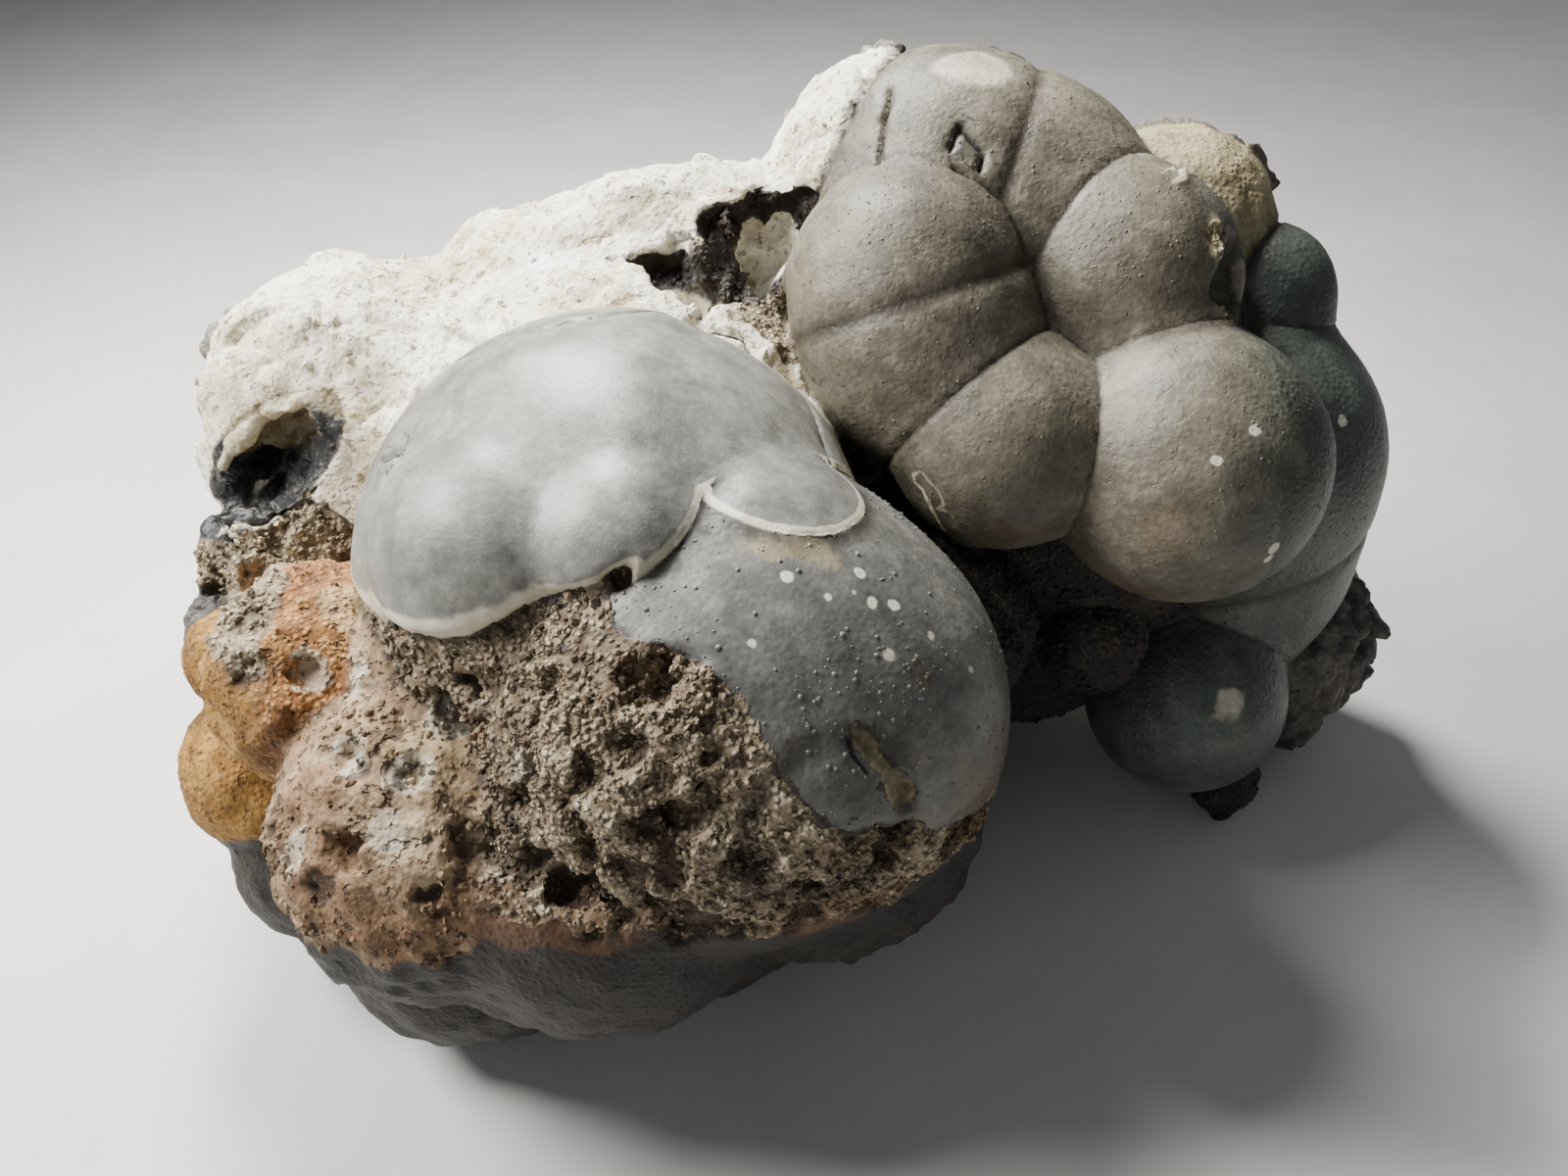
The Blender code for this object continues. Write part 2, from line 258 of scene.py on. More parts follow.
def cell_noise(points, seed):
    """Nearest random point: distance, gap to the second nearest, random number and way to it."""
    base = np.floor(points).astype(np.int64)
    first = np.full(len(points), 9.0)
    second = np.full(len(points), 9.0)
    tag = np.zeros(len(points))
    reach = np.zeros((len(points), 3))
    for neighbour in product((-1, 0, 1), repeat=3):
        cell = base + np.array(neighbour)
        spot = cell + np.stack([lattice(cell, seed + k) for k in (11, 12, 13)], axis=1)
        way = points - spot
        far = lengths(way)
        closer = far < first
        second = np.where(closer, first, np.minimum(second, far))
        tag = np.where(closer, lattice(cell, seed + 14), tag)
        reach = np.where(closer[:, None], way, reach)
        first = np.where(closer, far, first)
    return first, second - first, tag, reach


def lengths(ways):
    return np.linalg.norm(ways, axis=1)


def fade(low, high, x):
    """Smooth step from 0 at low to 1 at high."""
    t = np.clip((x - low) / (high - low), 0.0, 1.0)
    return t * t * (3 - 2 * t)


def blob(points, centre, radii):
    """One inside the ellipsoid's middle, falling to zero at its skin."""
    far = lengths((points - np.array(centre)) / np.array(radii))
    return fade(1.0, 0.55, far)


def blobs(points, places):
    """The strongest blob at each point."""
    total = np.zeros(len(points))
    for centre, radii in places:
        total = np.maximum(total, blob(points, centre, radii))
    return total


def read_vertices(mesh, name):
    flat = np.empty(len(mesh.vertices) * 3)
    mesh.vertices.foreach_get(name, flat)
    return flat.reshape(-1, 3)


def get_points(mesh):
    return read_vertices(mesh, "co") / MM


def get_normals(mesh):
    return read_vertices(mesh, "normal")


def set_points(mesh, points):
    mesh.vertices.foreach_set("co", (points * MM).ravel())
    mesh.update()


def bake(body):
    """Turn the modifiers of the body into plain mesh."""
    graph = bpy.context.evaluated_depsgraph_get()
    mesh = bpy.data.meshes.new_from_object(body.evaluated_get(graph))
    old = body.data
    body.modifiers.clear()
    body.data = mesh
    bpy.data.meshes.remove(old)


def remesh(body, size):
    step = body.modifiers.new("remesh", "REMESH")
    step.mode = "VOXEL"
    step.voxel_size = size * MM
    step.adaptivity = 0.0
    bake(body)


def new_object(name, mesh):
    made = bpy.data.objects.new(name, mesh)
    bpy.context.scene.collection.objects.link(made)
    return made


def fuse():
    """One mesh with every dome in it, still overlapping."""
    bm = bmesh.new()
    for centre, radii, _ in DOMES.values():
        made = bmesh.ops.create_icosphere(bm, subdivisions=6 if max(radii) > 12 else 5, radius=MM)
        for vertex in made["verts"]:
            vertex.co = Vector([v * r for v, r in zip(vertex.co, radii)]) + Vector(centre) * MM
    mesh = bpy.data.meshes.new("romanechite_stone")
    bm.to_mesh(mesh)
    bm.free()
    return new_object("romanechite_stone", mesh)


def nearness(points):
    """Distance from each point to the skin of each dome, in millimetres."""
    rows = []
    for centre, radii, _ in DOMES.values():
        flat = (points - np.array(centre)) / np.array(radii)
        rows.append((lengths(flat) - 1.0) * min(radii))
    return np.array(rows)


def break_planes():
    """Point and outward direction of each flat break."""
    for point, out in BREAKS.values():
        yield np.array(point, dtype=float), np.array(Vector(out).normalized())


BREAK_SKIN = 1.6


def break_share(points):
    """One on the flat breaks, falling to zero at the depth of their rough skin."""
    split = np.zeros(len(points))
    for point, direction in break_planes():
        depth = (point - points) @ direction
        split = np.maximum(split, np.clip(BREAK_SKIN - depth, 0.0, 1.0))
    return split


def break_off(body):
    """Flatten the body at the breaks and at the base it rests on."""
    points = get_points(body.data)
    for point, direction in break_planes():
        beyond = np.maximum((points - point) @ direction, 0.0)
        points -= beyond[:, None] * direction
    points[:, 2] = np.maximum(points[:, 2], BASE_Z)
    set_points(body.data, points)


def round_off(body):
    """Lay the skin exactly on the domes, apart from creases, breaks and the base."""
    points = get_points(body.data)
    far = nearness(points)
    first = far.argmin(axis=0)
    near = np.partition(far, 1, axis=0)
    clear = fade(0.3, 1.0, near[1] - near[0]) * (1.0 - break_share(points)) * fade(0.3, 1.5, points[:, 2])
    clear *= np.abs(near[0]) < 0.5
    centres, radii = (np.array([dome[k] for dome in DOMES.values()])[first] for k in (0, 1))
    flat = (points - centres) / radii
    skin = centres + flat / lengths(flat)[:, None] * radii
    set_points(body.data, points + (skin - points) * clear[:, None])


# Groups of domes whose valleys are rounded, with the size of the rounding.
FILLETS = [
    (0.35, list(SHELL_DOMES)),
    *zip((0.3, 0.5, 0.5), SEAMLESS),
    (1.6, ZONES["warm"] + ZONES["flank"]),
]

# Deep ragged cavities of the earthy skin.
CAVITIES = [
    ((-19, -49.5, 74), (3.4, 3, 2.6)), ((-21, -53, 69.5), (3.2, 3, 2.6)), ((-18, -57, 63), (4.5, 3, 2.6)),
    ((-26.5, -56.5, 51.5), (5, 4, 3)), ((-29, -46.5, 71.5), (2.4, 3, 2)), ((-13, -55.5, 66), (2.4, 3, 2)),
    ((-31, -55, 54), (3, 3, 2.4)), ((-9, -57.5, 59), (3.4, 3, 2.6)), ((-21, -57.5, 57), (3.5, 3, 2.5)),
]

# Caves under the crust's edge, dug in and painted black as shade.
CAVES = [
    ((-7.5, 18.5, 89.5), (8, 8, 6)), ((-12.5, 20, 89), (5, 5, 3.5)), ((-22.4, 16, 85.5), (5, 4, 3)),
    ((-4.5, 12, 84), (3, 4, 3)),
]

# Brown crumbly strip between the shell and the inner domes, each point with its half width.
CAVE_STRIP = [((-14, 17, 86), 5.0), ((-5, 9, 79), 4.5), ((4.4, 5, 65), 5.0)]

# Crumbly cream ridge on the blue dome, and the jagged cream notch beside the brow, in the same way.
BLUE_RIDGE = [((0.2, -49.2, 70.2), 0.5), ((1.6, -50.4, 67.8), 1.1), ((3.4, -51.2, 65.4), 0.8),
              ((6.0, -52, 61.6), 1.3)]
NOTCH = [((45, 5.5, 94.5), 2.0), ((48.5, 5.8, 89), 3.4), ((47, 3, 85), 1.6)]

# Patches of paint, each a list of ellipsoids that the skin is tinted inside.
PATCHES = {
    "pale": [
        ((46.5, 5.5, 92.5), (2.4, 3, 3)), ((50.5, 8, 88), (1.8, 3, 5)),
        ((-44.6, -46.7, 59.6), (3.6, 3, 3.4)), ((-51.9, -44, 59.3), (3.4, 3, 3.2)),
        ((-59.5, -33, 60.5), (3.2, 3, 3)), ((-54.4, -34.7, 61.6), (3, 3, 3)),
        ((-41.2, -41, 61), (4, 3, 3.2)), ((-65.7, -3, 64), (2.2, 2.2, 1.6)),
        ((-63, -6, 64), (1.6, 1.6, 1.4)), ((55.7, -12.2, 34.1), (2.6, 3, 3.2)),
        ((18, 24.4, 107.8), (7, 5, 2.4)), ((-57.5, -50, 50), (2.5, 3, 6)), ((-47, -52, 56), (3, 3, 2)),
        ((-33, -50, 64), (3, 3, 3)),
    ],
    "gold": [
        ((-3, -35.5, 80), (5, 2.4, 1.8)), ((-8, -36, 81.3), (4, 2.4, 1.5)),
        ((-1.5, -37.5, 78.8), (2, 2, 1.4)), ((-20.5, -38.3, 81), (4.5, 1.8, 2.4)),
        ((-56, -25.5, 65), (4, 5, 5)), ((45, 6, 94.2), (2.4, 3, 4)), ((46.5, 3, 86), (2.4, 3, 4)),
        ((48.5, 8, 90), (2.6, 3, 6)), ((-43, -44, 59), (6, 4, 7)), ((-73, 8, 74), (13, 14, 12)),
        ((-50, 22, 84), (9, 9, 5)), ((-60, 4, 76), (8, 8, 6)),
    ],
    "rusty": [
        ((-57, -48, 54.5), (7, 6, 8)), ((-54.8, -53.7, 49), (8, 6, 7)), ((-36, -56, 48), (12, 5, 4.5)),
        ((-46, -57.5, 46.5), (10, 6, 4.5)), ((-24, -57.5, 48.5), (9, 6, 4.5)),
        ((-63, -37, 51.5), (8, 7, 8)), ((-38, -42, 62), (5, 4, 3)), ((0, -55, 47), (10, 8, 5)),
        ((16, -45, 50), (4, 5, 7)),
    ],
    "brown": [
        ((8.2, -43.3, 69.9), (1.6, 1.8, 2.4)), ((12.8, -47.7, 57.9), (5, 4, 5.5)),
        ((16.6, -43, 56.4), (4, 6, 6)), ((7.4, -52.1, 56.3), (4.5, 4, 3.5)),
        ((37.6, -20.4, 70.3), (6, 3, 5)), ((36.5, -15.3, 58), (9, 6, 6)), ((1, -9.4, 73), (5, 6, 4)),
        ((-24, 22, 91), (5, 5, 4)), ((21, -16, 66), (7, 3, 4)),
    ],
    # Dark patches: one real dark spot inside the shell's rim; the rest are painted shade in the pits, caves
    # and the notch.
    "dark": [
        ((-47.1, -34.2, 69.6), (1.9, 1.6, 1.6)), ((-44.7, -47, 59.2), (2, 2.4, 1.8)),
        ((-51.9, -44, 59), (1.6, 2, 1.4)), ((-41, -41.8, 60.8), (2.1, 2.4, 1.7)),
        ((-51.3, -53, 53.8), (1.8, 2.4, 1.6)), ((-59.5, -33, 60.5), (1.4, 2, 1.3)),
        ((-54.4, -34.7, 61.6), (1.6, 2, 1.3)), ((-12, 16, 85), (11, 5, 5)), ((-20, 15, 85), (6, 4, 3)),
        ((49, 6, 88.5), (1.6, 3, 5)), ((-77, -9, 59.5), (4, 4, 3)), ((-80, -11, 54), (4, 4, 4)),
    ],
}

# Round white specks on the smooth skins, each with its radius.
SPECKS = [
    ((1.6, -36.2, 77.4), 0.6), ((2.7, -39, 75.9), 0.7), ((5.1, -38.3, 74.9), 0.7),
    ((4.3, -43.3, 72.8), 0.8), ((-1.7, -40.2, 77.6), 0.5), ((0.8, -38.7, 76.9), 0.4),
    ((8.9, -39.4, 71.7), 0.5), ((13.3, -39.7, 67.4), 0.5), ((-5.7, -39.3, 79.5), 0.6),
    ((-65.9, -3.4, 64.6), 1.1), ((-63.2, -5.6, 64.6), 0.8), ((65.2, 1.8, 71.3), 0.8), ((65.2, 1, 69), 0.6),
    ((50.5, -20.4, 68.1), 0.8), ((50.3, -20.4, 66.4), 0.6), ((41.9, -18.4, 78.9), 0.7),
    ((46.2, -16.2, 81.4), 0.7), ((9, -44.5, 70.5), 0.3), ((-9, -46, 77), 0.4), ((36, -17.5, 80), 0.4),
]

# Look of each zone: dark, middle and light tint, roughness, and height in millimetres of its grain and
# knobs; last the share of pinpricks, dented and darkened with painted shade.
SKINS = {
    # The underside's tints: its own dark brown-grey, darkened further as painted shade.
    "under": ((19, 17, 14), (32, 27, 22), (48, 41, 34), 0.65, 0.12, 0.10, 0.1),
    # The valley's tints: dark brown debris, darkened as painted shade of the crevice and caves.
    "valley": ((24, 21, 18), (46, 40, 34), (74, 66, 56), 0.8, 0.2, 0.3, 0.2),
    "foot": ((22, 22, 20), (38, 37, 35), (60, 58, 54), 0.65, 0.2, 0.1, 0.0),
    "crust": ((184, 168, 132), (224, 218, 198), (244, 242, 234), 0.85, 0.12, 0.08, 0.45),
    "rubble": ((88, 76, 58), (140, 126, 102), (180, 168, 144), 0.85, 0.25, 0.35, 0.7),
    "shard": ((34, 33, 31), (58, 56, 53), (88, 84, 80), 0.6, 0.2, 0.1, 0.0),
    "scar": ((15, 15, 15), (32, 32, 31), (72, 71, 69), 0.5, 0.2, 0.1, 0.0),
    "tan": ((118, 108, 80), (156, 144, 112), (186, 175, 145), 0.75, 0.1, 0.1, 0.2),
    "warm": ((68, 64, 54), (94, 89, 76), (124, 118, 104), 0.54, 0.09, 0.03, 0.1),
    # The flank's tints: grey-green, darkened as painted shade of the right side, which faces away from the
    # light.
    "flank": ((52, 58, 53), (70, 78, 71), (94, 101, 93), 0.45, 0.08, 0.06, 0.0),
    "blue": ((72, 72, 69), (97, 96, 92), (128, 126, 120), 0.44, 0.04, 0.02, 0.0),
    "earth": ((96, 81, 62), (148, 133, 110), (194, 182, 160), 0.9, 0.3, 0.40, 0.9),
    "buff": ((86, 66, 45), (128, 106, 80), (170, 152, 124), 0.85, 0.2, 0.1, 0.9),
    "rust": ((98, 62, 30), (150, 104, 56), (190, 150, 100), 0.85, 0.2, 0.2, 0.9),
    "ochre": ((86, 58, 24), (134, 96, 42), (166, 128, 68), 0.9, 0.14, 0.12, 0.5),
    "shell": ((92, 91, 87), (118, 117, 111), (146, 144, 138), 0.42, 0.07, 0.0, 0.0),
}
BORDER_RAGGED = {"shell": 0.3, "blue": 1.6, "earth": 1.6, "crust": 1.2, "scar": 0.8}
BORDER_SOFT = {"flank": 4.0, "ochre": 0.8, "rust": 0.6, "buff": 0.6, "under": 1.2}

# Paint of each kind of patch: dark and light tint, strength.
PATCH_TINTS = {
    "gold": ((158, 140, 98), (192, 178, 138), 0.35),
    "rusty": ((86, 56, 32), (124, 86, 54), 0.45),
    "brown": ((84, 68, 50), (114, 97, 75), 0.45),
    "pale": ((172, 162, 142), (204, 198, 182), 0.6),
    # The dark paint is mostly painted shade in holes and caves.
    "dark": ((26, 24, 24), (52, 49, 50), 0.9),
}


def group_rows(far, names):
    return far[[NAMES.index(name) for name in names]]


# Height of the step from the shell down to its neighbours, and the plane of its broken lower edge: height
# at the origin, rise along x and y, length of its direction, and the x at which the edge ends.
SHELL_STEP = 1.3
SHELF_HEIGHT, SHELF_RISE_X, SHELF_RISE_Y, SHELF_LENGTH = 93.2, 0.48, 0.05, 1.11
SHELF_END_X = -21.0

# How hollows are dug: step in millimetres along the skin's normal and most steps, then how ragged and how
# fine their walls are.
DIG_STEP = 0.25
DIG_STEPS = 60
WALL_RAGGED = 0.45
WALL_FINE = 1.9


def fillet(far):
    """Extra height that rounds the valleys between the domes of one group."""
    push = np.zeros(far.shape[1])
    lowest = far.min(axis=0)
    for size, names in FILLETS:
        rows = group_rows(far, names)
        low = rows.min(axis=0)
        lift = size * np.log(np.exp(-(rows - low) / size).sum(axis=0))
        push = np.maximum(push, lift * fade(0.6, 0.0, low - lowest))
    return push


def roughen(body):
    """Broad unevenness of each finish, the lifted edge of the shell, and the rough breaks."""
    points = get_points(body.data)
    normals = get_normals(body.data)
    far = nearness(points)
    weight = np.exp(-np.maximum(far - far.min(axis=0), 0.0) / 0.8)
    weight /= weight.sum(axis=0)
    split = break_share(points)
    shell = np.array([name in SHELL_DOMES for name in NAMES])
    inside = np.minimum(far[~shell].min(axis=0) - far[shell].min(axis=0), -shelf_line(points))
    step = SHELL_STEP * (0.3 + 0.7 * fade(-15.0, -22.0, points[:, 0]))
    push = step * np.clip(inside / 0.7, 0.0, 1.0) + fillet(far) * (1.0 - split)
    for finish, (height, size) in FINISH.items():
        mine = np.array([DOMES[name][2] == finish for name in NAMES])
        share = weight[mine].sum(axis=0) * (1.0 - split)
        if finish == "broken":
            share = share + split
        for i in np.nonzero(share > 0.01)[0]:
            spot = Vector(points[i]) / size
            wave = noise.fractal(spot, 0.9, 2.1, 3)
            if finish in ("ledged", "broken"):
                wave -= 0.5 * abs(noise.noise(spot * 0.7 + Vector((7, 3, 1))))
            if finish == "porous":
                wave -= 0.7 * max(0.0, noise.noise(spot * 1.4 + Vector((2, 9, 4))) - 0.15)
            push[i] += share[i] * height * wave
    set_points(body.data, points + normals * push[:, None])


def sink_hollows(body):
    """Lower the skin inside each ragged hole to the hole's far wall."""
    bm = bmesh.new()
    bm.from_mesh(body.data)
    skin = BVHTree.FromBMesh(bm)
    bm.free()
    points = get_points(body.data)
    for near, radii, turn, sink in HOLLOWS.values():
        spot, out = skin.find_nearest(Vector(near) * MM)[:2]
        centre = (spot - out * sink * MM) / MM
        shift = centre * 0.37
        back = Euler([math.radians(a) for a in turn]).to_matrix().inverted()
        for i in np.nonzero(lengths(points - np.array(centre)) < max(radii) * 1.5)[0]:
            place = Vector(points[i])
            for _ in range(DIG_STEPS):
                local = Vector([a / r for a, r in zip(back @ (place - centre), radii)])
                size = local.length
                if size > 1.0 + WALL_RAGGED * noise.noise(local / max(size, 0.001) * WALL_FINE + shift):
                    break
                place -= out * DIG_STEP
            points[i] = place
    set_points(body.data, points)


def line_fields(points, normals, lines, reach=2.5):
    """Sideways distance to the nearest line, how far along it the point counts, and the line's sizes."""
    side = np.full(len(points), reach)
    along = np.zeros(len(points))
    width = np.full(len(points), 0.4)
    height = np.zeros(len(points))
    best = np.full(len(points), reach)
    for wide, tall, route in lines.values():
        stops = np.array(route, dtype=float)
        for k, (a, b) in enumerate(zip(stops[:-1], stops[1:])):
            way = b - a
            t = (points - a) @ way / (way @ way)
            low = -9.0 if k > 0 else 0.0
            high = 9.0 if k < len(stops) - 2 else 1.0
            q = a + np.clip(t, 0.0, 1.0)[:, None] * way
            off = points - q
            lift = (off * normals).sum(axis=1)
            flat = off - normals * lift[:, None]
            far = lengths(flat)
            across = np.cross(way / np.linalg.norm(way), normals)
            sign = np.where((off * across).sum(axis=1) < 0.0, -1.0, 1.0)
            ends = fade(low - 0.02, low + 0.25, t) * fade(high + 0.02, high - 0.25, t)
            hit = (far < best) & (np.abs(lift) < 5.0)
            best = np.where(hit, far, best)
            side = np.where(hit, sign * far, side)
            along = np.where(hit, ends * fade(reach, reach * 0.6, far), along)
            width = np.where(hit, wide * (0.45 + 0.55 * ends), width)
            height = np.where(hit, tall * ends, height)
    return side, along, width, height


def claim(fields, zone, taken, inside):
    """Give the zone what the taken zones have inside the border."""
    for other in taken:
        fields[zone] = np.maximum(fields[zone], np.minimum(fields[other], inside))
        fields[other] = np.minimum(fields[other], -inside)


def line_gap(points, route):
    """Distance in millimetres inside a tube along the route of points with radii."""
    inside = np.full(len(points), -9.0)
    for (a, wide_a), (b, wide_b) in zip(route[:-1], route[1:]):
        start = np.array(a, dtype=float)
        way = np.array(b, dtype=float) - start
        t = np.clip((points - start) @ way / (way @ way), 0.0, 1.0)
        far = lengths(points - start - t[:, None] * way)
        inside = np.maximum(inside, wide_a + (wide_b - wide_a) * t - far)
    return inside


def shelf_line(points):
    """Distance below the shell's broken lower edge, on its left part."""
    x, y, z = points.T
    drop = (SHELF_HEIGHT + SHELF_RISE_X * x + SHELF_RISE_Y * y - z) / SHELF_LENGTH
    return np.minimum(drop, SHELF_END_X - x)


def zone_fields(points):
    """Distance in millimetres into each zone from its border, negative outside."""
    far = nearness(points)
    fields = {}
    centres = np.array([DOMES[name][0] for name in NAMES], dtype=float)
    for zone, members in ZONES.items():
        mine = np.array([name in members for name in NAMES])
        inner = np.where(mine)[0][far[mine].argmin(axis=0)]
        outer = np.where(~mine)[0][far[~mine].argmin(axis=0)]
        ways = [points - centres[k] for k in (inner, outer)]
        ways = [way / lengths(way)[:, None] for way in ways]
        slope = np.clip(lengths(ways[0] - ways[1]), 0.12, 2.0)
        gap = far[outer, np.arange(len(points))] - far[inner, np.arange(len(points))]
        fields[zone] = gap / slope
    x, y, z = points.T
    wave = 1.6 * value_noise(points / 6.0, 70) + 0.8 * value_noise(points / 2.4, 71)
    # Borders that leave the domes' creases: planes, tubes and patches, each with a wavy edge.
    claim(fields, "earth", ["shell"], shelf_line(points) + 0.15 * wave)
    claim(fields, "earth", ["blue"], (61.7 - 0.69 * x - z) / 1.2 + wave)
    claim(fields, "earth", ["blue"], 3.0 * blob(points, (-29, -46, 72), (8, 6, 7)) - 1.0 + 0.3 * wave)
    claim(fields, "ochre", ["rust"], -66.0 - x + wave)
    claim(fields, "rubble", ["rust", "ochre"], np.minimum(-63.0 - x, z - 59.0) + wave)
    # Below this front line the underside's dark tint takes over: darker towards the bottom, partly painted
    # shade.
    front = np.minimum(45.0 + 0.45 * np.minimum(x + 45.0, 0.0) - z, -y - 8.0) + 1.5 * wave
    claim(fields, "earth", ["under"], np.minimum(z - 48.0, np.minimum(x + 45.0, -y - 20.0)) + wave)
    claim(fields, "buff", ["under"], np.minimum(z - 45.0, np.minimum(-44.0 - x, -y - 20.0)) + wave)
    claim(fields, "under", ["earth", "buff", "ochre"], front)
    # The flank's darker tint spreads over the warm domes towards the right: painted shade growing to the
    # right.
    claim(fields, "flank", ["warm"], 0.35 * (x - 51.0) + 0.5 * wave)
    claim(fields, "rubble", ["crust"], line_gap(points, CAVE_STRIP) + wave)
    claim(fields, "tan", ["blue"], line_gap(points, BLUE_RIDGE) + 0.35 * wave)
    claim(fields, "rubble", ["warm", "flank", "tan"], line_gap(points, NOTCH) + 0.6 * wave)
    # The caves and the crevice under the crust take the valley's dark tint as painted shade.
    claim(fields, "valley", ["crust", "rubble"], 4.0 * blobs(warped(points, 3.0, 27), CAVES) - 0.4)
    claim(fields, "valley", ["crust"], np.minimum(66.0 - z, np.minimum(x + 2.0, 22.0 - y)) + wave)
    near, radii, turn = HOLLOWS["wedge_scar"][:3]
    back = np.array(Euler([math.radians(a) for a in turn]).to_matrix())
    reach = (points - np.array(near)) @ back / (1.35 * np.array(radii))
    scar = (1.0 - lengths(reach)) * 8.0 + 0.4 * wave
    fields["scar"] = np.full(len(points), -4.0)
    claim(fields, "scar", ["crust", "rubble", "shard"], scar)
    for zone in fields:
        fields[zone] = np.clip(fields[zone], -4.0, 4.0)
    fields["rim"] = fields["shell"] / (1.0 + 1.5 * fade(-24.0, -38.0, x))
    single = [[name] for name in NAMES if not any(name in group for group in SEAMLESS)]
    rows = [group_rows(far, group).min(axis=0) for group in SEAMLESS + single]
    two = np.partition(np.array(rows), 1, axis=0)
    fields["crease"] = np.clip(two[1] - two[0], 0.0, 4.0)
    return fields


def pits(points, size, fill, seed):
    """Round-mouthed pits on a share of a random lattice: 0 on the skin, 1 at their bottoms."""
    first, _, tag, _ = cell_noise(warped(points, size, seed) / size, seed)
    return fade(0.48, 0.12, first) * (tag < fill)


def facets(points, size, slope, step, seed):
    """Height of a skin broken into tilted flat pieces, and how close each point is to their joints."""
    _, gap, tag, reach = cell_noise(warped(points, size, seed) / size, seed)
    turn = np.stack([np.cos(tag * 44.0), np.sin(tag * 44.0), np.cos(tag * 71.0)], axis=1)
    return size * slope * (reach * turn).sum(axis=1) + step * (tag - 0.5), fade(0.07, 0.01, gap)


# Sizes in millimetres of the patterns of the fine relief, and depths of the caves and the creases.
LUMP_SIZE = 1.9
SMALL_PIT_SIZE = 1.7
MIDDLE_PIT_SIZE = 3.1
HOLE_SIZE = 4.2
PATCH_SIZE = 7.0
PLATE_SIZE = 10.0
CHIP_SIZE = 3.4
CAVE_DEPTH = 3.5
CREASE_DEPTH = 0.6


def relief(points, normals, fields):
    """Push along the normal, in millimetres, that gives each zone its fine shape, and marks for the paint."""
    split = break_share(points)
    share = {zone: fade(-0.7, 0.7, fields[zone]) * (1.0 - split) for zone in SKINS}
    shell_edge = fade(-0.2, 0.5, fields["shell"])

    small = pits(points, SMALL_PIT_SIZE, 0.8, 20)
    middle = pits(points, MIDDLE_PIT_SIZE, 0.4, 21)
    rubbly = fractal(points / LUMP_SIZE, 3, 24)
    holes = fade(0.25, 0.62, fractal(points / HOLE_SIZE, 3, 25) - 0.02 * (points[:, 2] - 60.0))
    holes = np.maximum(holes, blobs(warped(points, 2.5, 26), CAVITIES))
    earth = share["earth"]
    push = earth * (0.34 * rubbly - 0.4 * small - 0.55 * middle - 1.7 * holes)
    hollowed = [earth * np.maximum(np.maximum(0.45 * small, 0.7 * middle), holes)]

    patchy = fade(-0.2, 0.45, value_noise(points / PATCH_SIZE, 31) - 0.03 * (points[:, 2] - 52.0))
    buff = share["buff"]
    push += buff * (0.12 * rubbly - patchy * (0.3 * small + 0.45 * middle) - 0.9 * patchy * holes)
    hollowed.append(buff * patchy * np.maximum(0.5 * small, np.maximum(0.8 * middle, holes)))
    rust = share["rust"]
    push += rust * (0.16 * rubbly - 0.35 * small - 0.3 * middle)
    hollowed.append(rust * np.maximum(0.6 * small, 0.5 * middle))
    push += share["ochre"] * (0.12 * rubbly - 0.12 * small)
    push += share["under"] * (0.15 * rubbly - 0.25 * middle * patchy)

    plates, joints = facets(points, PLATE_SIZE, 0.09, 0.4, 40)
    chips, cuts = facets(points, CHIP_SIZE, 0.12, 0.15, 41)
    grainy = fade(0.0, 0.5, value_noise(points / 8.0, 43))
    crust = share["crust"] + 0.35 * share["tan"]
    push += crust * (plates + 0.4 * chips - 0.35 * joints + grainy * (0.12 * rubbly - 0.35 * small))
    hollowed.append(crust * np.maximum(0.55 * small * grainy, 0.5 * joints))
    rubble = share["rubble"] + share["valley"] * fade(60.0, 66.0, points[:, 2])
    push += rubble * (0.6 * rubbly + 0.5 * chips - 0.6 * middle - 1.2 * holes)
    hollowed.append(rubble * np.maximum(0.7 * middle, holes))
    broken = np.minimum(split + share["foot"] + share["shard"] + share["scar"], 1.0)
    caves = blobs(warped(points, 3.0, 27), CAVES) * (share["valley"] + share["rubble"] + share["crust"])
    caves = np.minimum(caves, 1.0)
    push -= CAVE_DEPTH * caves
    hollowed.append(caves)
    push += broken * (1.6 * plates + 1.1 * chips - 0.4 * joints - 0.3 * cuts)

    grooved = share["warm"] + share["flank"] + share["valley"] + share["tan"]
    push -= CREASE_DEPTH * grooved * fade(0.8, 0.0, fields["crease"])
    bent = points + 0.5 * (warped(points, 3.0, 64) - points)
    side, along, width, deep = line_fields(bent, normals, CRACKS)
    push -= along * deep * fade(width * 1.6, width * 0.2, np.abs(side))
    vein_side, vein_along, vein_width, tall = line_fields(bent, normals, VEINS)
    push += vein_along * tall * fade(vein_width, vein_width * 0.1, np.abs(vein_side))
    push += 0.25 * shell_edge * fade(1.6, 0.3, fields["shell"])
    # The pit mark is how hollowed the skin is; the paint turns it into painted shade.
    marks = {"pit": np.maximum.reduce(hollowed), "split": broken,
             "crack_side": side / width, "crack_along": along,
             "vein_side": vein_side / vein_width, "vein_along": vein_along}
    return push, marks


def store(mesh, name, values):
    layer = mesh.attributes.new(name, "FLOAT", "POINT")
    layer.data.foreach_set("value", np.ascontiguousarray(values, dtype=np.float32))


def read_field(mesh, name):
    values = np.empty(len(mesh.vertices), dtype=np.float32)
    mesh.attributes[name].data.foreach_get("value", values)
    return values


